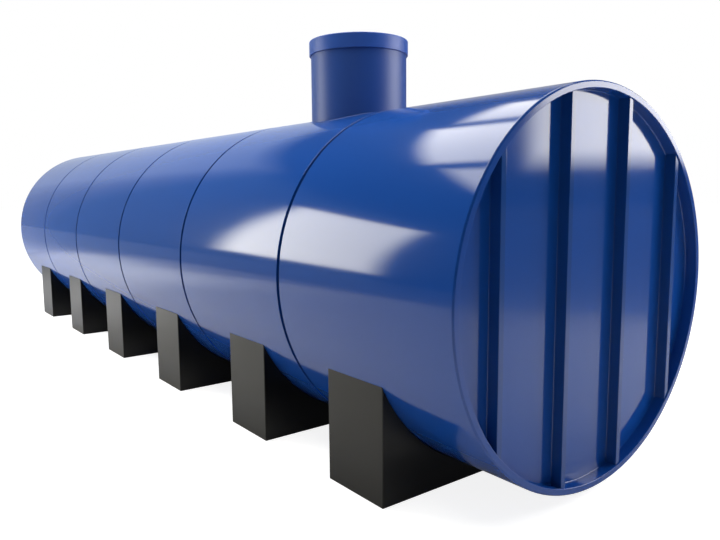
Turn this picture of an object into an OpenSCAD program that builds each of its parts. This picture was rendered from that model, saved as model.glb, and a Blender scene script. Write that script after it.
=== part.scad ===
// Horizontal water storage tank: a welded plastic barrel in sections, lying on
// one cradle block a section, with a ribbed flat plate set into each end and a
// capped neck on top. +X runs along the barrel to the front end, +Z is up,
// and the origin is on the ground under the middle of the tank.

/* [Barrel] */
// Outside diameter of the barrel
barrel_d = 2000; // [1600:10:2600]
// Thickness of the barrel wall
barrel_wall = 36; // [20:1:60]
// Number of welded sections, each on a cradle of its own
section_count = 6; // [3:1:8]
// Length of one section
section_len = 1350; // [1100:5:1700]
// Width and depth of the chamfer on each section edge at a weld seam
seam_chamfer = 13; // [6:1:16]
// Bevel around the outer edge of each open rim
rim_bevel = 7; // [2:1:10]

/* [Ends] */
// Depth from the rim to the face of the end plate
plate_recess = 65; // [40:1:140]
// Thickness of the end plate
plate_t = 20; // [10:1:40]
// Number of vertical ribs on each end plate
rib_count = 4; // [2:1:4]
// Distance between rib centres
rib_pitch = 468; // [300:2:500]
// Thickness of a rib
rib_t = 32; // [16:1:50]
// How far the ribs stop short of the rim
rib_setback = 6; // [0:1:20]

/* [Neck] */
// Outside diameter of the neck
neck_d = 650; // [500:5:800]
// Thickness of the neck wall
neck_wall = 20; // [10:1:40]
// Distance from the first seam to the neck's axis, on the second section
neck_from_seam = 546; // [450:1:650]
// Height of the neck's top edge above the crown of the barrel
neck_height = 483; // [300:1:800]

/* [Cap] */
// Play between the cap's skirt and the neck
cap_play = 2; // [1:0.5:5]
// Thickness of the cap's skirt
cap_skirt_t = 9; // [8:1:20]
// Thickness of the cap's top
cap_top_t = 12; // [8:1:25]
// Length of the cap's skirt below the neck's top edge
cap_skirt_len = 82; // [50:1:150]
// Radius of the cap's rounded upper edge
cap_edge_r = 7; // [3:1:8]

/* [Cradles] */
// How far the sides of a cradle stand in from the barrel's widest point
cradle_inset = 100; // [40:5:300]
// Length of a cradle block along the tank
cradle_len = 455; // [250:5:600]
// Thickness of a cradle block under the bottom of the barrel
cradle_under = 52; // [30:1:150]
// Distance from the front rim to the middle of the first cradle
cradle_from_front = 790; // [500:5:1000]
// Distance from the middle of the last cradle to the rear rim
cradle_from_rear = 820; // [500:5:1000]
// Distance from the first cradle to the second
cradle_first_pitch = 1145; // [700:5:1200]

/* [Hidden] */
seat_play = 0.3;            // play between curved faces that lie on each other
over = 1;                   // how far a cutter runs past the face that it cuts
$fn = 128;

barrel_r = barrel_d / 2;
barrel_in_r = barrel_r - barrel_wall;
barrel_len = section_count * section_len;
front_x = barrel_len / 2;
cradle_arc_r = barrel_r + seat_play;
axis_z = cradle_under + cradle_arc_r;

neck_r = neck_d / 2;
neck_x = front_x - section_len - neck_from_seam;
neck_top_z = axis_z + barrel_r + neck_height;
cap_in_r = neck_r + cap_play;
cap_r = cap_in_r + cap_skirt_t;
cap_len = cap_top_t + cap_skirt_len;

cradle_count = section_count;
cradle_half_w = barrel_r - cradle_inset;
cradle_tip_z = axis_z - sqrt(pow(cradle_arc_r, 2) - pow(cradle_half_w, 2));
cradle_run = barrel_len - cradle_from_front - cradle_first_pitch - cradle_from_rear;
cradle_pitch = cradle_run / (cradle_count - 2);

// Distance from the front rim to the middle of cradle i
function cradle_distance(i) =
    cradle_from_front + (i < 2 ? 0 : cradle_first_pitch + (i - 2) * cradle_pitch);

// Distance of rib i from the middle of the end plate, across the tank
function rib_y(i) = (i - (rib_count + 1) / 2) * rib_pitch;

// Lays a shape that is made along +Z along the barrel's axis, from x onwards
module along_barrel(x) {
    translate([x, 0, axis_z]) rotate([0, 90, 0]) children();
}

// Keeps a shape at the front end, or mirrors it to the rear end
module at_end(front) {
    mirror([front ? 0 : 1, 0, 0]) children();
}

// Wall of one section, with its outer edges cut back at the rear and the front
module barrel_tube(rear_cut, front_cut) {
    rotate_extrude()
        polygon([
            [barrel_in_r, 0],
            [barrel_r - rear_cut, 0],
            [barrel_r, rear_cut],
            [barrel_r, section_len - front_cut],
            [barrel_r - front_cut, section_len],
            [barrel_in_r, section_len]
        ]);
}

// Section i of the barrel, counted from the front
module barrel_section(i) {
    rear_cut = i == section_count ? rim_bevel : seam_chamfer;
    front_cut = i == 1 ? rim_bevel : seam_chamfer;
    color("royalblue")
        difference() {
            along_barrel(front_x - i * section_len)
                barrel_tube(rear_cut, front_cut);
            if (i == 2)
                translate([neck_x, 0, axis_z])
                    cylinder(r = neck_r + seat_play, h = barrel_r + over);
        }
}

// Flat round plate that closes one end of the barrel
module end_plate(front) {
    color("royalblue")
        at_end(front)
            along_barrel(front_x - plate_recess - plate_t)
                cylinder(r = barrel_in_r - seat_play, h = plate_t);
}

// Upright rib i on an end plate, from the barrel's wall below to the wall above
module end_rib(front, i) {
    color("mediumblue")
        at_end(front)
            intersection() {
                translate([front_x - plate_recess, rib_y(i) - rib_t / 2, axis_z - barrel_r])
                    cube([plate_recess - rib_setback, rib_t, barrel_d]);
                along_barrel(front_x - plate_recess - over)
                    cylinder(r = barrel_in_r - seat_play, h = plate_recess + over);
            }
}

// Round neck, with its foot flush with the inside of the barrel
module neck() {
    color("royalblue")
        difference() {
            translate([neck_x, 0, axis_z])
                cylinder(r = neck_r, h = neck_top_z - axis_z);
            translate([neck_x, 0, axis_z - over])
                cylinder(r = neck_r - neck_wall, h = neck_top_z - axis_z + 2 * over);
            along_barrel(neck_x - neck_d)
                cylinder(r = barrel_in_r, h = 2 * neck_d);
        }
}

// Half of the cap's outline, from its axis to the outside of its skirt
module cap_outline() {
    difference() {
        union() {
            square([cap_r - cap_edge_r, cap_len]);
            square([cap_r, cap_len - cap_edge_r]);
            translate([cap_r - cap_edge_r, cap_len - cap_edge_r])
                intersection() {
                    circle(r = cap_edge_r);
                    square(cap_edge_r);
                }
        }
        translate([-over, -over])
            square([cap_in_r + over, cap_skirt_len + over]);
    }
}

// Lift-off cap that rests on the top edge of the neck
module neck_cap() {
    color("royalblue")
        translate([neck_x, 0, neck_top_z - cap_skirt_len])
            rotate_extrude()
                cap_outline();
}

// Block i under the barrel, hollowed to the barrel's curve
module cradle(i) {
    color("dimgray")
        difference() {
            translate([front_x - cradle_distance(i) - cradle_len / 2, -cradle_half_w, 0])
                cube([cradle_len, 2 * cradle_half_w, cradle_tip_z]);
            along_barrel(front_x - cradle_distance(i) - cradle_len)
                cylinder(r = cradle_arc_r, h = 2 * cradle_len);
        }
}

for (i = [1 : section_count])
    barrel_section(i);
end_plate(true);  // front_end_plate
end_plate(false);  // rear_end_plate
for (i = [1 : rib_count])
    end_rib(true, i);
for (i = [1 : rib_count])
    end_rib(false, i);
neck();
neck_cap();
for (i = [1 : cradle_count])
    cradle(i);
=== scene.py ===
"""Horizontal water storage tank: a welded blue barrel on black cradles, with ribbed ends and a neck.

Sizes are in metres, except where a name or a note says millimetres.
"""

import logging
import math
from dataclasses import dataclass
from enum import Enum
from functools import partial
from typing import Callable, Optional

import bpy
import numpy as np
from mathutils import Matrix, Vector


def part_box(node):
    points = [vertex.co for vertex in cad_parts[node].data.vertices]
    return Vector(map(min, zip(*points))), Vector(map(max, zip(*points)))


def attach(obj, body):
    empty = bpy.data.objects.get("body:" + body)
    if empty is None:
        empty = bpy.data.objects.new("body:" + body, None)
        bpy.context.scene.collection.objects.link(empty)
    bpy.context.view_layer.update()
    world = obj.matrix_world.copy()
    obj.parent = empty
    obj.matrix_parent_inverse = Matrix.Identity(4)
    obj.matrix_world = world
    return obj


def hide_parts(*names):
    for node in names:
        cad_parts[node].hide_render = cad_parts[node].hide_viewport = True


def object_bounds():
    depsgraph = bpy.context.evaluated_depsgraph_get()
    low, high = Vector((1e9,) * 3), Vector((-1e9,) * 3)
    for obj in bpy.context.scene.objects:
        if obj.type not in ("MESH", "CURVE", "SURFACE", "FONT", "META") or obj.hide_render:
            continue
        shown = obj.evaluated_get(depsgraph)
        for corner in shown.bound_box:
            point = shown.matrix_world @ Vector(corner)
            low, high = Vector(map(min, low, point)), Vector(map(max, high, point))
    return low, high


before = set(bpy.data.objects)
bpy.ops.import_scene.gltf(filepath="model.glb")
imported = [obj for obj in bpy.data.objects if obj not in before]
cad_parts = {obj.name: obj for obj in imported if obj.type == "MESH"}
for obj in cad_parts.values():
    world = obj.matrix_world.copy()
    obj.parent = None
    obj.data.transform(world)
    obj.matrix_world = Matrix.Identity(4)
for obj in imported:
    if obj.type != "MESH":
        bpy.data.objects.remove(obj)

CAD_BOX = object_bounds()

BODY = "root"
BARREL_STEPS = 256  # facets round the barrel
NECK_STEPS = 192  # facets round the neck and its cap
ARC_STEPS = 6  # facets of one rounded edge
GUARD = 0.0004  # how far a guard point stands past the end of a rounded edge
HIDDEN_EDGE = 0.0005  # radius of an edge that no side shows
SUNK = 0.0005  # how far a weld runs into the wall that it lies on
SAME = 0.000001  # distance within which two places count as one
POLYPROPYLENE_IOR = 1.49
POLYETHYLENE_IOR = 1.51

log = logging.getLogger("tank")


class Slot(Enum):
    """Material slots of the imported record."""

    TANK = "tank_plastic"
    CRADLE = "cradle_plastic"


class End(Enum):
    """The two ends of the barrel, each with the direction that it faces along X."""

    FRONT = 1
    REAR = -1


# Outlines and surfaces


@dataclass
class Shell:
    """A closed surface.

    Attributes:
        points: One row of x, y and z for each point.
        faces: Arrays with one row of point numbers a face, in threes or in fours.
    """

    points: np.ndarray
    faces: list[np.ndarray]

    def volume(self) -> float:
        """Sums the signed volumes of the tetrahedra that the faces make with the origin.

        Returns:
            The volume, which is negative where the faces point inwards.
        """
        total = 0.0
        for face in self.faces:
            for k in range(2, face.shape[1]):
                a, b, c = (self.points[face[:, n]] for n in (0, k - 1, k))
                total += float(np.einsum("ij,ij->", a, np.cross(b, c))) / 6
        return total

    def outward(self) -> "Shell":
        """Turns the faces outwards, by the sign of the volume.

        Returns:
            This surface.
        """
        if self.volume() < 0:
            self.faces = [face[:, ::-1] for face in self.faces]
        return self

    def compact(self) -> "Shell":
        """Leaves out the points that no face uses.

        Returns:
            The surface with its other points numbered anew.
        """
        used = np.unique(np.concatenate([face.ravel() for face in self.faces]))
        number = np.zeros(len(self.points), int)
        number[used] = np.arange(len(used))
        return Shell(self.points[used], [number[face] for face in self.faces])


def rounded_outline(corners: list[tuple], radii: list[float], closed: bool = True) -> np.ndarray:
    """Rounds the corners of a flat outline.

    The arc at a corner touches both of its edges: its ends stand off the corner by the radius times the
    tangent of half the turn, and its points are its centre plus the radius turned through even angles.
    A guard point just past each end keeps the shading of the straight stretch beyond it true.

    Args:
        corners: Two coordinates for each corner.
        radii: The radius at each corner; 0 leaves it sharp.
        closed: Whether the last corner joins the first; if not, both stay as they are.

    Returns:
        One row of two coordinates for each point.
    """
    place = np.asarray(corners, float)
    count = len(place)
    points = []
    for i, radius in enumerate(radii):
        here = place[i]
        if radius == 0 or (not closed and i in (0, count - 1)):
            points.append(here[None])
            continue
        came = here - place[i - 1]
        goes = place[(i + 1) % count] - here
        came /= np.linalg.norm(came)
        goes /= np.linalg.norm(goes)
        turn = math.atan2(came[0] * goes[1] - came[1] * goes[0], float(came @ goes))
        stand_off = radius * math.tan(abs(turn) / 2)
        first = here - came * stand_off
        side = math.copysign(1.0, turn) * np.array([-came[1], came[0]])
        centre = first + radius * side
        angle = np.linspace(0, turn, ARC_STEPS + 1)[:, None]
        spoke = -radius * side
        across = np.array([-spoke[1], spoke[0]])
        arc = centre + np.cos(angle) * spoke + np.sin(angle) * across
        last = here + goes * (stand_off + GUARD)
        points.append(np.vstack([first - came * GUARD, arc, last]))
    return np.vstack(points)


def grid_faces(rows: int, columns: int, rows_close: bool) -> np.ndarray:
    """Joins neighbouring lines of a grid whose columns close on themselves.

    Args:
        rows: Number of lines of points.
        columns: Number of points in each line.
        rows_close: Whether the last line joins the first.

    Returns:
        Faces of four point numbers, shaped (intervals, columns, 4), with points numbered line by line.
    """
    i = np.arange(rows if rows_close else rows - 1)[:, None]
    j = np.arange(columns)[None]
    below, above = i * columns, (i + 1) % rows * columns
    here, next_one = j, (j + 1) % columns
    return np.stack([below + here, below + next_one, above + next_one, above + here], axis=-1)


def pole_fans(rows: int, columns: int) -> list[np.ndarray]:
    """Closes both ends of a grid with triangles that meet at two poles, numbered after the grid's points.

    Args:
        rows: Number of lines of points.
        columns: Number of points in each line.

    Returns:
        Faces of three point numbers at the first line, and the same at the last line.
    """
    pole = rows * columns
    last = pole - columns
    here = np.arange(columns)
    next_one = (here + 1) % columns
    return [
        np.stack([np.full(columns, pole), next_one, here], axis=-1),
        np.stack([np.full(columns, pole + 1), last + here, last + next_one], axis=-1),
    ]


def turned(outline: np.ndarray, steps: int, origin: Vector, axis: Vector, start: Vector) -> Shell:
    """Turns an outline of (distance along the axis, radius) round an axis.

    A point at angle t is the origin + along * axis + radius * (cos t * start + sin t * side), where side
    stands square to both. An outline that begins and ends on the axis is closed there by fans.

    Args:
        outline: One row of distance along and radius for each point.
        steps: Number of facets round.
        origin: Point on the axis from which the distances count.
        axis: Unit direction of the axis.
        start: Unit direction of angle 0, square to the axis.

    Returns:
        The closed surface.
    """
    poles = outline[0, 1] == 0
    body = outline[1:-1] if poles else outline
    side = np.array(axis.cross(start))
    angle = np.arange(steps) * (2 * math.pi / steps)
    spoke = np.cos(angle)[:, None] * np.array(start) + np.sin(angle)[:, None] * side
    along = np.array(origin) + body[:, :1] * np.array(axis)
    points = (along[:, None] + body[:, 1, None, None] * spoke[None]).reshape(-1, 3)
    faces = [grid_faces(len(body), steps, not poles).reshape(-1, 4)]
    if poles:
        ends = np.array(origin) + outline[[0, -1], :1] * np.array(axis)
        points = np.vstack([points, ends])
        faces += pole_fans(len(body), steps)
    return Shell(points, faces)


def nodes_named(start: str) -> list[str]:
    """Lists, in order, the CAD nodes whose names start like that."""
    return sorted(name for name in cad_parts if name.startswith(start))


def add_object(name: str, data: bpy.types.ID) -> bpy.types.Object:
    """Adds an object to the scene.

    Args:
        name: Its name.
        data: Its mesh, lamp or camera.

    Returns:
        The new object.
    """
    thing = bpy.data.objects.new(name, data)
    bpy.context.scene.collection.objects.link(thing)
    return thing


def make_piece(
    name: str,
    shell: Shell,
    finish: bpy.types.Material,
    node: str,
    second: Optional[bpy.types.Material] = None,
    on_second: Optional[Callable[[np.ndarray], np.ndarray]] = None,
) -> bpy.types.Object:
    """Makes the object that stands for one CAD node.

    Args:
        name: Name of the piece.
        shell: Its surface, in the row frame.
        finish: Its material.
        node: The CAD node that it replaces.
        second: Another material that some of its faces have.
        on_second: Says, from the middles of the faces, which of them have it.

    Returns:
        The new object.
    """
    mesh = bpy.data.meshes.new(name)
    faces = [row for face in shell.outward().faces for row in face.tolist()]
    mesh.from_pydata(shell.points.tolist(), [], faces)
    mesh.polygons.foreach_set("use_smooth", np.ones(len(mesh.polygons), bool))
    mesh.materials.append(finish)
    mesh.update()
    if second and on_second:
        middles = np.zeros(len(mesh.polygons) * 3)
        mesh.polygons.foreach_get("center", middles)
        mesh.materials.append(second)
        mesh.polygons.foreach_set("material_index", on_second(middles.reshape(-1, 3)).astype(np.int32))
    piece = add_object(name, mesh)
    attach(piece, BODY)
    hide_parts(node)
    log.info("%s: %d points, %d faces", name, len(mesh.vertices), len(mesh.polygons))
    return piece


# Materials


def linear(hex_colour: str) -> tuple[float, float, float, float]:
    """Turns an sRGB colour to linear.

    Args:
        hex_colour: The colour, as # and six hex digits.

    Returns:
        Linear red, green, blue and alpha.
    """
    parts = [int(hex_colour[i : i + 2], 16) / 255 for i in (1, 3, 5)]
    curve = [c / 12.92 if c <= 0.04045 else ((c + 0.055) / 1.055) ** 2.4 for c in parts]
    return (curve[0], curve[1], curve[2], 1.0)


def add_node(tree: bpy.types.NodeTree, kind: str, feeds: dict, **settings: object) -> bpy.types.Node:
    """Adds a node, sets its options and feeds its sockets.

    Args:
        tree: The node tree.
        kind: The node's type.
        feeds: A value, or another node's output, for each socket by name or number.
        **settings: The node's options by name.

    Returns:
        The node.
    """
    node = tree.nodes.new(kind)
    for option, choice in settings.items():
        setattr(node, option, choice)
    for socket, feed in feeds.items():
        if isinstance(feed, bpy.types.NodeSocket):
            tree.links.new(feed, node.inputs[socket])
        else:
            node.inputs[socket].default_value = feed
    return node


def new_material(name: str) -> tuple[bpy.types.Material, bpy.types.NodeTree, bpy.types.NodeSocket]:
    """Makes a material without a surface.

    Args:
        name: The material's name.

    Returns:
        The material, its node tree, and the output that gives a point's place on the object.
    """
    material = bpy.data.materials.new(name)
    material.use_nodes = True
    tree = material.node_tree
    tree.nodes.clear()
    return material, tree, add_node(tree, "ShaderNodeTexCoord", {}).outputs["Object"]


def per_metre(millimetres: float) -> float:
    """Gives the noise scale whose features are that many millimetres across."""
    return 1000 / millimetres


@dataclass(frozen=True)
class Polypropylene:
    """Pigmented polypropylene, extruded as sheet, rolled round and butt-welded.

    The rollers leave it glossy with a slight haze, so that lamps show in it sharp, each with a faint glow
    around it. The sheet is never quite flat: slow waves about twice as long as a hand bend the edges of a
    reflection a little. It is faintly cloudy where the pigment and the gloss vary.
    """

    name: str
    colour: str
    cloud_colour: str
    roughness: float = 0.09
    unevenness: float = 0.015  # how far the roughness strays either way
    haze: float = 0.06  # share of the light that the haze spreads
    haze_roughness: float = 0.34
    wave_mm: float = 420.0
    wave_depth_mm: float = 0.35
    cloud_mm: float = 700.0
    cloud_range: tuple[float, float] = (0.3, 0.7)  # levels between which the roughness goes up

    def material(self) -> bpy.types.Material:
        """Builds the material.

        Returns:
            The material.
        """
        material, tree, place = new_material(self.name)
        cloud = add_node(tree, "ShaderNodeTexNoise", {
            "Vector": place, "Scale": per_metre(self.cloud_mm), "Detail": 3.0,
        })
        colour = add_node(tree, "ShaderNodeMix", {
            "Factor": cloud.outputs["Fac"], 6: linear(self.colour), 7: linear(self.cloud_colour),
        }, data_type="RGBA")
        low, high = self.cloud_range
        gloss = add_node(tree, "ShaderNodeMapRange", {
            "Value": cloud.outputs["Fac"], "From Min": low, "From Max": high,
            "To Min": self.roughness - self.unevenness, "To Max": self.roughness + self.unevenness,
        })
        waves = add_node(tree, "ShaderNodeTexNoise", {
            "Vector": place, "Scale": per_metre(self.wave_mm), "Detail": 1.0,
        })
        bump = add_node(tree, "ShaderNodeBump", {
            "Height": waves.outputs["Fac"], "Distance": self.wave_depth_mm / 1000, "Strength": 1.0,
        })
        clear, hazy = (
            add_node(tree, "ShaderNodeBsdfPrincipled", {
                "Base Color": colour.outputs[2], "Roughness": roughness,
                "IOR": POLYPROPYLENE_IOR, "Normal": bump.outputs["Normal"],
            })
            for roughness in (gloss.outputs[0], self.haze_roughness)
        )
        plastic = add_node(tree, "ShaderNodeMixShader", {
            0: self.haze, 1: clear.outputs[0], 2: hazy.outputs[0],
        })
        add_node(tree, "ShaderNodeOutputMaterial", {"Surface": plastic.outputs[0]})
        return material


@dataclass(frozen=True)
class WeldRodWithGrooveShade:
    """Dark polypropylene rod laid hot into a seam.

    It cools with a dull, slightly rippled skin, so that a seam reads as a thin dark line round the glossy
    sheet. Its colour is darker, and its mirror light lower, than a weld's alone: painted shade that stands
    in for the groove's shadow. The ripples follow the welder's steps of about ten millimetres.
    """

    name: str
    colour: str
    roughness: float = 0.5
    sheen: float = 0.02  # level of its mirror light, kept low as painted shade of the groove
    ripple_mm: float = 10.0
    ripple_depth_mm: float = 0.6
    ripple_share: float = 0.6  # share of that depth that shows

    def material(self) -> bpy.types.Material:
        """Builds the material.

        Returns:
            The material.
        """
        material, tree, place = new_material(self.name)
        ripple = add_node(tree, "ShaderNodeTexNoise", {
            "Vector": place, "Scale": per_metre(self.ripple_mm), "Detail": 1.0,
        })
        bump = add_node(tree, "ShaderNodeBump", {
            "Height": ripple.outputs["Fac"], "Distance": self.ripple_depth_mm / 1000,
            "Strength": self.ripple_share,
        })
        rod = add_node(tree, "ShaderNodeBsdfPrincipled", {
            "Base Color": linear(self.colour), "Roughness": self.roughness,
            "IOR": POLYPROPYLENE_IOR, "Specular IOR Level": self.sheen, "Normal": bump.outputs["Normal"],
        })
        add_node(tree, "ShaderNodeOutputMaterial", {"Surface": rod.outputs[0]})
        return material


@dataclass(frozen=True)
class PolyethyleneBlock:
    """Black polyethylene block, moulded and sawn to length.

    Carbon black makes it nearly black, and the moulded skin has a fine grain with a satin sheen that shows
    grey towards a lamp. The grain is drawn at several times its real half millimetre, so that it shows.
    """

    name: str
    colour: str
    worn_colour: str
    roughness: float = 0.3
    sheen: float = 0.35  # level of its mirror light
    worn_mm: float = 180.0  # width of the worn patches
    grain_mm: float = 4.0
    grain_depth_mm: float = 0.1
    grain_share: float = 0.5  # share of that depth that shows

    def material(self) -> bpy.types.Material:
        """Builds the material.

        Returns:
            The material.
        """
        material, tree, place = new_material(self.name)
        worn = add_node(tree, "ShaderNodeTexNoise", {
            "Vector": place, "Scale": per_metre(self.worn_mm), "Detail": 4.0,
        })
        colour = add_node(tree, "ShaderNodeMix", {
            "Factor": worn.outputs["Fac"], 6: linear(self.colour), 7: linear(self.worn_colour),
        }, data_type="RGBA")
        grain = add_node(tree, "ShaderNodeTexNoise", {
            "Vector": place, "Scale": per_metre(self.grain_mm), "Detail": 2.0,
        })
        bump = add_node(tree, "ShaderNodeBump", {
            "Height": grain.outputs["Fac"], "Distance": self.grain_depth_mm / 1000,
            "Strength": self.grain_share,
        })
        block = add_node(tree, "ShaderNodeBsdfPrincipled", {
            "Base Color": colour.outputs[2], "Roughness": self.roughness,
            "IOR": POLYETHYLENE_IOR, "Specular IOR Level": self.sheen, "Normal": bump.outputs["Normal"],
        })
        add_node(tree, "ShaderNodeOutputMaterial", {"Surface": block.outputs[0]})
        return material


# Sub-assemblies


@dataclass
class Barrel:
    """Welded barrel of sections that lie end to end along X.

    Attributes:
        finish: Material of the sheet.
        rod: Material of the welding rod in the seams, darkened as painted shade of the grooves.
        wall: Thickness of the wall.
        seam_chamfer: Chamfer on each section's edge at a seam, which leaves a V-shaped groove.
        shoulder: Radius of the worn shoulders of that groove.
        rim_bevel: Bevel round the outer edge of each open rim.
        rim_round: Radius of the corners of that bevel.
        rim_inner_round: Radius of the rim's inner edge.
        rod_shade_depths: Shares of the groove's depth between which the rod's faces, with their painted
            shade, lie; it fills the bottom.
    """

    finish: bpy.types.Material
    rod: bpy.types.Material
    wall: float = 0.036
    seam_chamfer: float = 0.015
    shoulder: float = 0.002
    rim_bevel: float = 0.007
    rim_round: float = 0.006
    rim_inner_round: float = 0.003
    rod_shade_depths: tuple[float, float] = (0.06, 1.1)

    def __post_init__(self) -> None:
        """Reads the barrel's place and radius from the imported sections."""
        self.sections = nodes_named("barrel_section_")
        low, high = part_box(self.sections[0])
        self.radius = (high[1] - low[1]) / 2
        self.inner_radius = self.radius - self.wall
        self.axis_z = (low[2] + high[2]) / 2

    def section_outline(self, low_x: float, high_x: float, rear_rim: bool, front_rim: bool) -> np.ndarray:
        """Outlines one section's wall, as distance along X and radius.

        Args:
            low_x: Its rear end.
            high_x: Its front end.
            rear_rim: Whether the rear end is an open rim.
            front_rim: Whether the front end is an open rim.

        Returns:
            One row of x and radius for each point, round the wall.
        """
        rear, rear_edges = self.end_shape(rear_rim)
        front, front_edges = self.end_shape(front_rim)
        corners = [
            (low_x, self.inner_radius), (low_x, self.radius - rear), (low_x + rear, self.radius),
            (high_x - front, self.radius), (high_x, self.radius - front), (high_x, self.inner_radius),
        ]
        return rounded_outline(corners, rear_edges + front_edges[::-1])

    def end_shape(self, rim: bool) -> tuple[float, list[float]]:
        """Gives the shape of one end of a section.

        Args:
            rim: Whether the end is an open rim.

        Returns:
            How far its outer edge is cut back, and the radii of its inner edge, face edge and outer edge.
        """
        if rim:
            return self.rim_bevel, [self.rim_inner_round, self.rim_round, self.rim_round]
        return self.seam_chamfer, [HIDDEN_EDGE, HIDDEN_EDGE, self.shoulder]

    def build(self, neck: "Neck") -> None:
        """Builds every section.

        Args:
            neck: The neck, whose hole goes through one of the sections.
        """
        for number, name in enumerate(self.sections, start=1):
            low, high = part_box(name)
            first, last = number == 1, number == len(self.sections)
            outline = self.section_outline(low[0], high[0], last, first)
            pierced = low[0] < neck.x < high[0]
            shell = neck.pierce(outline) if pierced else self.turn(outline)
            seams = [x for x, rim in ((low[0], last), (high[0], first)) if not rim]
            in_seam = partial(self.in_seam, seams=seams)
            make_piece(f"{name}_sheet", shell, self.finish, name, self.rod, in_seam)

    def turn(self, outline: np.ndarray, direction: int = 1) -> Shell:
        """Turns an outline round the barrel's axis, with its distances along +X, or along -X at -1."""
        origin = Vector((0, 0, self.axis_z))
        return turned(outline, BARREL_STEPS, origin, Vector((direction, 0, 0)), Vector((0, 0, 1)))

    def in_seam(self, middles: np.ndarray, seams: list[float]) -> np.ndarray:
        """Picks the faces in the grooves at the seams, where the welding rod and its painted shade lie.

        Args:
            middles: The middle of each face.
            seams: The section's seams along X.

        Returns:
            Whether each face has the rod on it.
        """
        depth = self.radius - np.hypot(middles[:, 1], middles[:, 2] - self.axis_z)
        near = np.min([np.abs(middles[:, 0] - x) for x in seams], axis=0)
        top, bottom = (self.seam_chamfer * share for share in self.rod_shade_depths)
        return (depth > top) & (depth < bottom) & (near < self.seam_chamfer)


@dataclass
class EndPlate:
    """Flat round plate welded into one end of the barrel.

    Attributes:
        end: Which end.
        barrel: The barrel that it closes.
        finish: Material of the sheet, painted lighter than the barrel's to stand in for more light on the
            ends.
        weld: Radius of the hollow weld between the plate and the barrel's wall.
    """

    end: End
    barrel: Barrel
    finish: bpy.types.Material
    weld: float = 0.006

    def build(self) -> None:
        """Builds the plate as an outline of distance and radius turned round the barrel's axis."""
        name = f"{self.end.name.lower()}_end_plate"
        low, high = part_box(name)
        direction = self.end.value
        back, face = sorted([direction * low[0], direction * high[0]])
        wall = self.barrel.inner_radius
        toe = (face + self.weld + SUNK, wall + SUNK)
        corners = [(back, 0), (back, wall + SUNK), toe, (face, wall), (face, 0)]
        outline = rounded_outline(corners, [0, HIDDEN_EDGE, 0, self.weld, 0], closed=False)
        make_piece(f"{name}_sheet", self.barrel.turn(outline, direction), self.finish, name)


@dataclass
class EndRibs:
    """Upright ribs welded on one end plate, from the barrel's wall below to the wall above.

    Attributes:
        end: Which end.
        barrel: The barrel whose wall they follow.
        finish: Material of the ribs.
        edge: Radius of a rib's two front edges.
        weld: Radius of the hollow weld along each side of a rib's foot.
        heart: Place of the fans' poles, in weld radii before the plate.
        even_lines: Number of lines at even heights, and the share of the height that they reach.
        near_end: Share of the height at which one more line lies next to each end.
    """

    end: End
    barrel: Barrel
    finish: bpy.types.Material
    edge: float = 0.0025
    weld: float = 0.005
    heart: float = 0.8
    even_lines: tuple[int, float] = (7, 0.9)
    near_end: float = 0.998

    def build(self) -> None:
        """Builds every rib on this end."""
        for name in nodes_named(f"{self.end.name.lower()}_rib_"):
            make_piece(f"{name}_strip", self.rib(name), self.finish, name)

    def rib(self, name: str) -> Shell:
        """Carries a rib's outline upright, with both ends on the barrel's wall.

        An outline point at y runs from minus to plus the square root of the wall's radius squared less y
        squared. Lines close to both ends keep the shading of the rib's sides true.

        Args:
            name: The CAD node.

        Returns:
            The closed surface.
        """
        low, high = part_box(name)
        direction = self.end.value
        foot, front = sorted([direction * low[0], direction * high[0]])
        middle, half = (low[1] + high[1]) / 2, (high[1] - low[1]) / 2
        toe = half + self.weld + SUNK
        corners = [
            (-toe, foot - SUNK), (-half, foot), (-half, front),
            (half, front), (half, foot), (toe, foot - SUNK),
        ]
        outline = rounded_outline(corners, [0, self.weld, self.edge, self.edge, self.weld, 0])
        y = middle + outline[:, 0]
        reach = np.sqrt((self.barrel.inner_radius + SUNK) ** 2 - y**2)
        lines, even_end = self.even_lines
        even = np.linspace(-even_end, even_end, lines)
        share = np.concatenate([[-1, -self.near_end], even, [self.near_end, 1]])
        height = self.barrel.axis_z + share[:, None] * reach
        along = np.broadcast_to(direction * outline[:, 1], height.shape)
        across = np.broadcast_to(y, height.shape)
        points = np.stack([along, across, height], axis=-1).reshape(-1, 3)
        rows, columns = height.shape
        heart = direction * (foot + self.weld * self.heart)
        tall = math.sqrt(self.barrel.inner_radius**2 - middle**2)
        ends = [[heart, middle, self.barrel.axis_z + way * tall] for way in (-1, 1)]
        faces = [grid_faces(rows, columns, False).reshape(-1, 4)] + pole_fans(rows, columns)
        return Shell(np.vstack([points, ends]), faces)


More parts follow.
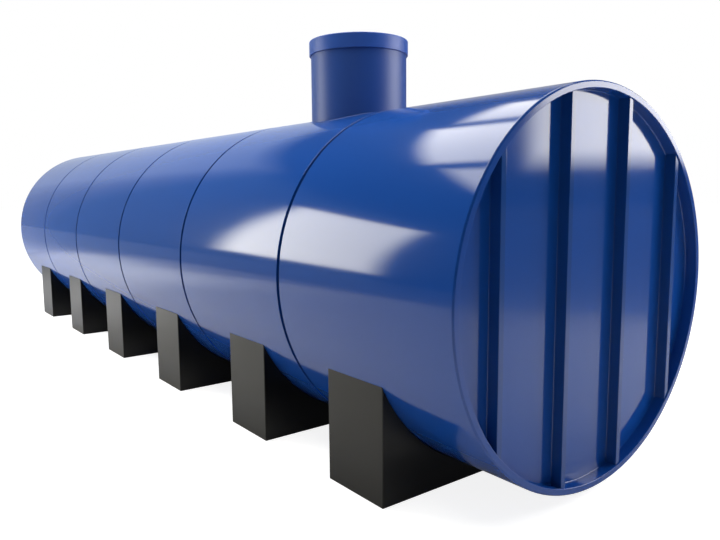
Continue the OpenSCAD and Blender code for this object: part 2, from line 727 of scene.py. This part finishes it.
@dataclass
class Neck:
    """Round neck that passes through the barrel's wall, and its lift-off cap.

    Attributes:
        barrel: The barrel.
        finish: Material of the neck.
        cap_finish: Material of the cap.
        wall: Thickness of the neck's wall.
        play: Play between the neck and its hole.
        weld: Radius of the hollow weld on the barrel.
        top_round: Radius of the edges of the neck's rim.
        cap_top: Thickness of the cap's top.
        cap_skirt: Thickness of the cap's skirt.
        cap_edge: Radius of the cap's upper edge.
        cap_foot: Radius of the skirt's lower edges.
        window_steps: Facets of the barrel from the crown to the edge of the patch round the neck.
        patch_rings: Rings of faces between the hole and the edge of that patch.
        ring_crowding: Power that crowds the rings towards the hole; 1 spaces them evenly.
    """

    barrel: Barrel
    finish: bpy.types.Material
    cap_finish: bpy.types.Material
    wall: float = 0.020
    play: float = 0.0005
    weld: float = 0.005
    top_round: float = 0.003
    cap_top: float = 0.012
    cap_skirt: float = 0.009
    cap_edge: float = 0.007
    cap_foot: float = 0.002
    window_steps: int = 17
    patch_rings: int = 5
    ring_crowding: float = 1.3

    def __post_init__(self) -> None:
        """Reads the neck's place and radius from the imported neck."""
        low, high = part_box("neck")
        self.x = (low[0] + high[0]) / 2
        self.radius = (high[0] - low[0]) / 2
        self.top_z = high[2]

    def pierce(self, outline: np.ndarray) -> Shell:
        """Turns a section's outline into a wall with the neck's hole through its crown.

        A square window of the wall's grid, centred on the hole, is left out. In its place each wall gets
        rings of points. Seen from above, a ring lies between the hole's circle and the window's edge, at
        its number's share of the way raised to a power. It is lifted to the wall: z = axis + the square
        root of radius squared less y squared. The wall of the hole joins the two walls' innermost rings.

        Args:
            outline: The section's outline, as distance along X and radius.

        Returns:
            The closed surface.
        """
        steps, reach = BARREL_STEPS, self.window_steps
        half_window = self.barrel.radius * math.sin(2 * math.pi * reach / steps)
        lines = self.x + np.linspace(-half_window, half_window, 2 * reach + 1)
        outline = self.with_lines(outline, lines)
        whole = self.barrel.turn(outline)
        grid = grid_faces(len(outline), steps, True)
        column = np.arange(steps)
        over_hole = (column < reach) | (column >= steps - reach)
        bore_radius = self.radius + self.play
        points, patches, mouths = [whole.points], [], []
        total = len(whole.points)
        for radius in (self.barrel.radius, self.barrel.inner_radius):
            inside = np.abs(outline[:, 0] - self.x) < half_window + SAME
            rows = np.flatnonzero(np.isclose(outline[:, 1], radius) & inside)
            rows = rows[np.argsort(outline[rows, 0])]
            grid[rows.min() : rows.max(), over_hole] = -1
            edge = self.window_edge(rows, steps)
            rim = whole.points[edge]
            angle = np.arctan2(rim[:, 1], rim[:, 0] - self.x)
            hole = np.stack([self.x + bore_radius * np.cos(angle), bore_radius * np.sin(angle)], axis=-1)
            share = (np.arange(self.patch_rings) / self.patch_rings)[:, None, None] ** self.ring_crowding
            flat = (1 - share) * hole + share * rim[:, :2]
            lift = self.barrel.axis_z + np.sqrt(radius**2 - flat[..., 1] ** 2)
            rings = np.concatenate([flat, lift[..., None]], axis=-1)
            number = total + np.arange(rings.shape[0] * len(edge)).reshape(rings.shape[0], -1)
            total += number.size
            points.append(rings.reshape(-1, 3))
            lanes = np.vstack([number, edge])
            turned_lanes = np.roll(lanes, -1, axis=1)
            patch = np.stack([lanes[:-1], turned_lanes[:-1], turned_lanes[1:], lanes[1:]], axis=-1)
            order = 1 if radius == self.barrel.radius else -1
            patches.append(patch.reshape(-1, 4)[:, ::order])
            mouths.append(number[0])
        outer, inner = mouths
        bore = np.stack([outer, inner, np.roll(inner, -1), np.roll(outer, -1)], axis=-1)
        kept = grid[grid[..., 0] >= 0]
        return Shell(np.vstack(points), [kept] + patches + [bore]).compact()

    def with_lines(self, outline: np.ndarray, lines: np.ndarray) -> np.ndarray:
        """Adds points on both long stretches of a section's outline.

        Args:
            outline: The section's outline, as distance along X and radius.
            lines: Distances along X at which the points are added, from low to high.

        Returns:
            The outline with its new points.
        """
        for radius in (self.barrel.radius, self.barrel.inner_radius):
            before = np.isclose(outline[:, 1], radius) & np.isclose(np.roll(outline[:, 1], -1), radius)
            length = np.abs(np.roll(outline[:, 0], -1) - outline[:, 0])
            start = int(np.argmax(np.where(before, length, 0)))
            forward = outline[(start + 1) % len(outline), 0] > outline[start, 0]
            along = lines if forward else lines[::-1]
            extra = np.stack([along, np.full(len(along), radius)], axis=-1)
            outline = np.insert(outline, start + 1, extra, axis=0)
        return outline

    def window_edge(self, rows: np.ndarray, steps: int) -> np.ndarray:
        """Numbers the grid points round a square window over the crown, once round.

        Args:
            rows: The window's rows of the grid, from low to high x.
            steps: Number of columns in the grid.

        Returns:
            The point numbers, in order round the window's edge.
        """
        reach = self.window_steps
        span = np.arange(2 * reach)
        columns = np.arange(-reach, reach + 1) % steps
        return np.concatenate([
            rows[-1] * steps + columns[span],
            rows[::-1][span] * steps + columns[-1],
            rows[0] * steps + columns[::-1][span],
            rows[span] * steps + columns[0],
        ])

    def build(self) -> None:
        """Builds the neck and its cap."""
        make_piece("neck_tube", self.tube(), self.finish, "neck")
        make_piece("neck_cap_moulding", self.cap(), self.cap_finish, "neck_cap")

    def tube(self) -> Shell:
        """Carries the neck's outline round its axis, with its foot following the barrel.

        A point at angle t stands at radius r. Its height is counted from the barrel's outer wall, from its
        inner wall or from the neck's rim. Over a wall of radius R that is the barrel's axis + the square
        root of R squared less the square of r sin t.

        Returns:
            The closed surface.
        """
        inner = self.radius - self.wall
        toe = self.radius + self.weld + SUNK
        rise = 2 * self.weld
        foot_corners = [(toe, -SUNK), (self.radius, 0), (self.radius, rise)]
        foot = rounded_outline(foot_corners, [0, self.weld, 0], closed=False)
        drop = -2 * self.top_round
        rim_corners = [(self.radius, drop), (self.radius, 0), (inner, 0), (inner, drop)]
        rim = rounded_outline(rim_corners, [0, self.top_round, self.top_round, 0], closed=False)
        inside = np.array([(inner, 0), (self.radius, 0)])
        under_toe = np.array([(self.radius, -2 * SUNK), (toe, -2 * SUNK)])
        rows = np.vstack([inside, under_toe, foot, rim])
        wall = np.zeros(len(rows))
        wall[: len(inside)] = self.barrel.inner_radius
        wall[len(inside) : -len(rim)] = self.barrel.radius
        angle = np.arange(NECK_STEPS) * (2 * math.pi / NECK_STEPS)
        x = self.x + rows[:, :1] * np.cos(angle)
        y = rows[:, :1] * np.sin(angle)
        over_wall = self.barrel.axis_z + np.sqrt(np.maximum(wall[:, None] ** 2 - y**2, 0))
        base = np.where(wall[:, None] > 0, over_wall, self.top_z)
        points = np.stack([x, y, base + rows[:, 1:]], axis=-1).reshape(-1, 3)
        return Shell(points, [grid_faces(len(rows), NECK_STEPS, True).reshape(-1, 4)])

    def cap(self) -> Shell:
        """Turns the cap's outline of height and radius round the neck's axis.

        Returns:
            The closed surface.
        """
        low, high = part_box("neck_cap")
        outer = (high[0] - low[0]) / 2
        inner = outer - self.cap_skirt
        bottom, top = low[2], high[2]
        under = top - self.cap_top
        corners = [(under, 0), (under, inner), (bottom, inner), (bottom, outer), (top, outer), (top, 0)]
        radii = [0, self.cap_foot, HIDDEN_EDGE, self.cap_foot, self.cap_edge, 0]
        outline = rounded_outline(corners, radii, closed=False)
        return turned(outline, NECK_STEPS, Vector((self.x, 0, 0)), Vector((0, 0, 1)), Vector((1, 0, 0)))


@dataclass
class Cradles:
    """Blocks under the barrel, each hollowed to the barrel's curve.

    Attributes:
        barrel: The barrel that they carry.
        finish: Material of the blocks.
        edge: Width of the rounding on every edge.
        edge_steps: Facets of that rounding.
        sharp: Least turn between two faces at which their edge is rounded, in degrees.
        arc_steps: Facets across the hollow and across the foot.
    """

    barrel: Barrel
    finish: bpy.types.Material
    edge: float = 0.005
    edge_steps: int = 3
    sharp: float = 30
    arc_steps: int = 96

    def build(self) -> None:
        """Builds every block."""
        for name in nodes_named("cradle_"):
            piece = make_piece(f"{name}_block", self.block(name), self.finish, name)
            rounding = piece.modifiers.new("worn_edges", "BEVEL")
            rounding.width = self.edge
            rounding.segments = self.edge_steps
            rounding.limit_method = "ANGLE"
            rounding.angle_limit = math.radians(self.sharp)
            rounding.harden_normals = True

    def block(self, name: str) -> Shell:
        """Carries the block's outline along X and closes both of its faces.

        The foot is a straight line at even distances, and the hollow is the arc of a circle round the
        barrel's axis at even angles, from the tip on one side to the tip on the other. A strip from the
        foot to the hollow closes each face.

        Args:
            name: The CAD node.

        Returns:
            The closed surface.
        """
        low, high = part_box(name)
        half = (high[1] - low[1]) / 2
        rise = self.barrel.axis_z - high[2]
        hollow = math.hypot(half, rise)
        tip = math.asin(half / hollow)
        foot_y = np.linspace(-half, half, self.arc_steps + 1)
        foot_line = np.stack([foot_y, np.full(len(foot_y), low[2])], axis=-1)
        angle = np.linspace(tip, -tip, self.arc_steps + 1)
        arc_z = self.barrel.axis_z - hollow * np.cos(angle)
        arc = np.stack([hollow * np.sin(angle), arc_z], axis=-1)
        loop = np.vstack([foot_line, arc])
        count = len(loop)
        points = np.vstack([np.insert(loop, 0, x, axis=1) for x in (low[0], high[0])])
        sides = grid_faces(2, count, False).reshape(-1, 4)
        here = np.arange(self.arc_steps)
        back = count - 1 - here
        strip = np.stack([here, here + 1, back - 1, back], axis=-1)
        return Shell(points, [sides, strip[:, ::-1], strip + count])


# Studio


@dataclass(frozen=True)
class SoftBox:
    """Rectangular studio lamp.

    Attributes:
        name: Its name.
        centre: Middle of its face.
        facing: Direction in which it shines.
        width: Its level width, which lies along Y where the lamp shines straight down.
        height: Its height, square to its width.
        radiance: Brightness of its face, where 1 shows as white.
        softness: Width of the band over which its upright edges fade, and of that at its level edges.
        tint: Colour of its light.
        mirrored: Whether glossy surfaces show it.
        lights: Whether it lights matt surfaces.
        soft_layers: Number of layers that make its soft edges.
        layer_gap: Distance from one layer to the next.
    """

    name: str
    centre: tuple[float, float, float]
    facing: tuple[float, float, float]
    width: float
    height: float
    radiance: float
    softness: tuple[float, float] = (0.0, 0.0)
    tint: str = "#ffffff"
    mirrored: bool = True
    lights: bool = True
    soft_layers: int = 5
    layer_gap: float = 0.01

    def build(self) -> None:
        """Places the lamp as layers of equal brightness, whose sizes step across its soft edges."""
        layers = self.soft_layers if any(self.softness) else 1
        back = -Vector(self.facing).normalized()
        level = Vector((0, 0, 1)).cross(back)
        across = level.normalized() if level.length else Vector((0, 1, 0))
        turn = Matrix((across, back.cross(across), back)).transposed().to_4x4()
        for layer in range(layers):
            step = (layer + 0.5) / layers - 0.5
            width = self.width + 2 * step * self.softness[0]
            height = self.height + 2 * step * self.softness[1]
            centre = Vector(self.centre) + back * self.layer_gap * layer
            lamp = bpy.data.lights.new(f"{self.name}_{layer}", "AREA")
            lamp.shape = "RECTANGLE"
            lamp.size, lamp.size_y = width, height
            lamp.energy = math.pi * width * height * self.radiance / layers
            lamp.color = linear(self.tint)[:3]
            box = add_object(lamp.name, lamp)
            box.matrix_world = Matrix.Translation(centre) @ turn
            box.visible_glossy = self.mirrored
            box.visible_diffuse = self.lights
            box.visible_camera = False


@dataclass
class Studio:
    """Pale floor, soft lamps and camera.

    Attributes:
        barrel: The barrel, from whose rim and axis the camera's place counts.
        front_x: Place of the front rim along X.
        floor_rings: Radii of the floor's rings of points.
        floor_steps: Facets round the floor.
        board: Colour of the floor's board as it lights the tank.
        seen_board: Its colour to the camera, under the glow that whitens it.
        glow: Level of that glow beside the tank, where 1 is white.
        glow_reach: Distances from the tank's middle between which the glow rises to white.
        fill_level: The world's level, where 1 is white, that lights matt surfaces.
        mirrored_level: The level of the white surroundings that glossy and clear surfaces show.
        lens: Focal length of the camera, in millimetres.
        sensor: Width of its sensor, in millimetres.
        sight: Greatest distance that it shows.
        yaw: Turn of the camera's view from +Y towards -X, in radians.
        pitch: Fall of its view, in radians.
        roll: Roll of the camera, in radians.
        camera_offset: Camera's place from the middle of the front rim.
    """

    barrel: Barrel
    front_x: float
    floor_rings: tuple[float, ...] = (0.5, 6.0, 20.0, 60.0)
    floor_steps: int = 96
    board: str = "#e0e0e0"
    seen_board: str = "#b3b3b3"
    glow: float = 0.86
    glow_reach: tuple[float, float] = (4.6, 5.9)
    fill_level: float = 0.2
    mirrored_level: float = 0.05
    lens: float = 33.41
    sensor: float = 36.0
    sight: float = 200.0
    yaw: float = 0.915887
    pitch: float = 0.120382
    roll: float = -0.008523
    camera_offset: tuple[float, float, float] = (1.8367, -2.8707, 0.5046)

    def build(self) -> None:
        """Builds the floor, the world, the lamps and the camera."""
        self.floor()
        self.world()
        for lamp in self.lamps():
            lamp.build()
        self.camera()

    def lamps(self) -> list[SoftBox]:
        """Lists the lamps and the bright walls.

        Three bars overhead, a box beside the barrel and one before its front end make the highlights. Two
        walls beyond the rear end and one behind the barrel show dimly along its edges. The last three
        aren't mirrored, and only lift the shade under the rear sections, on the front end and on the side.

        Returns:
            The lamps.
        """
        warm, faint_warm, pale_blue, pale_cyan = "#fffbed", "#fffcf6", "#dce8ff", "#c4e4ff"
        down, overhead, front_edge = (0, 0, -1), 6.2, 4.5
        bars = [(2.35, 2.0, -0.85, 4.2), (-0.4, 2.6, -1.25, 6.0), (-3.0, 1.7, -0.95, 5.3)]
        rear_walls = [("rear_wall", 2.8, 0.77, pale_blue), ("dim_rear_wall", -6.2, 0.22, pale_cyan)]
        overhead_bars = [
            SoftBox(
                f"overhead_bar_{n}", ((rear_edge + front_edge) / 2, y, overhead), down,
                width, front_edge - rear_edge, radiance, (0.3, 0.5), warm,
            )
            for n, (y, width, rear_edge, radiance) in enumerate(bars, start=1)
        ]
        return overhead_bars + [
            SoftBox(
                "side_box", (-3.73, -5.24, 3.11), (0.848, 0.53, 0),
                width=2.62, height=3.4, radiance=8.0, softness=(0.4, 0.16), tint=warm,
            ),
            SoftBox(
                "end_box", (6.02, 5.16, 3.48), (-0.545, -0.839, 0),
                width=3.8, height=3.2, radiance=8.4, softness=(0.2, 0.28), tint=faint_warm,
            ),
            *[
                SoftBox(name, (-8, y, 3.8), (1, 0, 0), 9.0, 7.6, radiance, (1.4, 1.0), tint)
                for name, y, radiance, tint in rear_walls
            ],
            SoftBox(
                "back_wall", (-5.8, 9, 4), (0, -1, 0),
                width=7.0, height=8.0, radiance=0.4, softness=(2.0, 4.0), lights=False,
            ),
            SoftBox(
                "rear_floor_box", (-4.8, -2.3, 0.9), down,
                width=1.6, height=5.6, radiance=2.0, softness=(0.4, 0.4), mirrored=False,
            ),
            SoftBox(
                "end_fill", (7.6, 3.8, 3.8), (-0.6, -0.65, -0.45),
                width=2.0, height=2.0, radiance=4.5, mirrored=False,
            ),
            SoftBox(
                "side_fill", (-6.5, -6.0, 3.0), (0.3, 0.95, 0),
                width=4.0, height=3.5, radiance=3.0, mirrored=False,
            ),
        ]

    def floor(self) -> None:
        """Makes the floor: rings of points at radius r and angle t round the tank, level at the ground."""
        steps = self.floor_steps
        angle = np.arange(steps) * (2 * math.pi / steps)
        rings = np.array(self.floor_rings)[:, None]
        flat = np.stack([rings * np.cos(angle), rings * np.sin(angle), 0 * rings * angle], axis=-1)
        points = np.vstack([flat.reshape(-1, 3), [[0, 0, 0]]])
        here = np.arange(steps)
        fan = np.stack([np.full(steps, len(points) - 1), here, (here + 1) % steps], axis=-1)
        quads = grid_faces(len(rings), steps, False).reshape(-1, 4)[:, ::-1]
        mesh = bpy.data.meshes.new("studio_floor")
        mesh.from_pydata(points.tolist(), [], quads.tolist() + fan.tolist())
        mesh.materials.append(self.floor_material())
        ground = add_object("studio_floor", mesh)

    def floor_material(self) -> bpy.types.Material:
        """Makes matt painted board, white to the camera by a glow of its own.

        The glow rises from beside the tank to full white farther out, so that the floor keeps the shadow.
        Glossy and clear surfaces show a small share of it.

        Returns:
            The material.
        """
        material, tree, place = new_material("matt_studio_board")
        rays = add_node(tree, "ShaderNodeLightPath", {})
        camera_ray = rays.outputs["Is Camera Ray"]
        paint = add_node(tree, "ShaderNodeMix", {
            "Factor": camera_ray, 6: linear(self.board), 7: linear(self.seen_board),
        }, data_type="RGBA")
        board = add_node(tree, "ShaderNodeBsdfDiffuse", {"Color": paint.outputs[2]})
        distance = add_node(tree, "ShaderNodeVectorMath", {0: place}, operation="LENGTH")
        near, far = self.glow_reach
        seen = add_node(tree, "ShaderNodeMapRange", {
            "Value": distance.outputs["Value"], "From Min": near, "From Max": far,
            "To Min": self.glow, "To Max": 1.0,
        })
        mirror_share = add_node(tree, "ShaderNodeMath", {
            0: self.mirror_ray(tree, rays), 1: self.mirrored_level,
        }, operation="MULTIPLY")
        strength = add_node(tree, "ShaderNodeMath", {
            0: camera_ray, 1: seen.outputs[0], 2: mirror_share.outputs[0],
        }, operation="MULTIPLY_ADD")
        glow = add_node(tree, "ShaderNodeEmission", {
            "Color": linear("#ffffff"), "Strength": strength.outputs[0],
        })
        surface = add_node(tree, "ShaderNodeAddShader", {0: board.outputs[0], 1: glow.outputs[0]})
        add_node(tree, "ShaderNodeOutputMaterial", {"Surface": surface.outputs[0]})
        return material

    def mirror_ray(self, tree: bpy.types.NodeTree, rays: bpy.types.Node) -> bpy.types.NodeSocket:
        """Tells the rays that leave glossy and clear surfaces from the others.

        Args:
            tree: The node tree to add to.
            rays: Its Light Path node.

        Returns:
            An output that is 1 for those rays.
        """
        return add_node(tree, "ShaderNodeMath", {
            0: rays.outputs["Is Glossy Ray"], 1: rays.outputs["Is Transmission Ray"],
        }, operation="MAXIMUM").outputs[0]

    def world(self) -> None:
        """Makes the studio's surroundings: white to the camera, dim in reflections, and a soft fill."""
        world = bpy.data.worlds.new("studio_surroundings")
        world.use_nodes = True
        bpy.context.scene.world = world
        tree = world.node_tree
        tree.nodes.clear()
        rays = add_node(tree, "ShaderNodeLightPath", {})
        dim = add_node(tree, "ShaderNodeMapRange", {
            "Value": self.mirror_ray(tree, rays), "To Min": self.fill_level, "To Max": self.mirrored_level,
        })
        level = add_node(tree, "ShaderNodeMapRange", {
            "Value": rays.outputs["Is Camera Ray"], "To Min": dim.outputs[0], "To Max": 1.0,
        })
        light = add_node(tree, "ShaderNodeBackground", {
            "Color": linear("#ffffff"), "Strength": level.outputs[0],
        })
        add_node(tree, "ShaderNodeOutputWorld", {"Surface": light.outputs[0]})

    def camera(self) -> None:
        """Places the camera by its yaw, pitch and roll, at its offset from the front rim."""
        data = bpy.data.cameras.new("studio_camera")
        data.sensor_width = self.sensor
        data.lens = self.lens
        data.clip_end = self.sight
        ahead = Vector((
            -math.sin(self.yaw) * math.cos(self.pitch),
            math.cos(self.yaw) * math.cos(self.pitch),
            -math.sin(self.pitch),
        ))
        level_right = Vector((math.cos(self.yaw), math.sin(self.yaw), 0))
        level_up = level_right.cross(ahead)
        right = math.cos(self.roll) * level_right + math.sin(self.roll) * level_up
        up = right.cross(ahead)
        turn = Matrix((right, up, -ahead)).transposed().to_4x4()
        camera = add_object("studio_camera", data)
        rim = Vector((self.front_x, 0, self.barrel.axis_z))
        camera.matrix_world = Matrix.Translation(rim + Vector(self.camera_offset)) @ turn
        bpy.context.scene.camera = camera


def main() -> None:
    """Builds the tank's sub-assemblies in order, then the studio."""
    logging.basicConfig(level=logging.INFO, format="%(name)s: %(message)s")
    bpy.context.scene.view_settings.view_transform = "Standard"
    sheet = Polypropylene("glossy_blue_polypropylene_sheet", "#124495", "#114190").material()
    # The end plates' sheet is a lighter copy of the barrel's: painted light that stands in for more light
    # falling on the ends.
    lightened_plate_sheet = Polypropylene(
        "lightened_blue_polypropylene_plate_sheet", "#12489c", "#114596", haze=0.05,
    ).material()
    rib_sheet = Polypropylene("welded_blue_polypropylene_strip", "#134289", "#123f83").material()
    # The die of a drawn pipe and the mould of a lid leave a satin skin, on which a lamp shows only as a
    # soft, wide highlight.
    pipe = Polypropylene(
        "drawn_blue_polypropylene_pipe", "#12418f", "#103e8a", roughness=0.44, haze=0.0,
    ).material()
    lid = Polypropylene("moulded_blue_polypropylene_lid", "#194aa1", "#17479a", roughness=0.45).material()
    # The welding rod is painted darker than a weld alone, as shade in the seams' grooves.
    rod = WeldRodWithGrooveShade("dark_welding_rod_and_painted_groove_shade", "#022661").material()
    block = PolyethyleneBlock("moulded_black_polyethylene", "#070707", "#0b0b0b").material()
    barrel = Barrel(sheet, rod)
    neck = Neck(barrel, pipe, lid)
    barrel.build(neck)
    for end in End:
        EndPlate(end, barrel, lightened_plate_sheet).build()
        EndRibs(end, barrel, rib_sheet).build()
    neck.build()
    Cradles(barrel, block).build()
    Studio(barrel, CAD_BOX[1][0]).build()


if __name__ == "__main__":
    main()
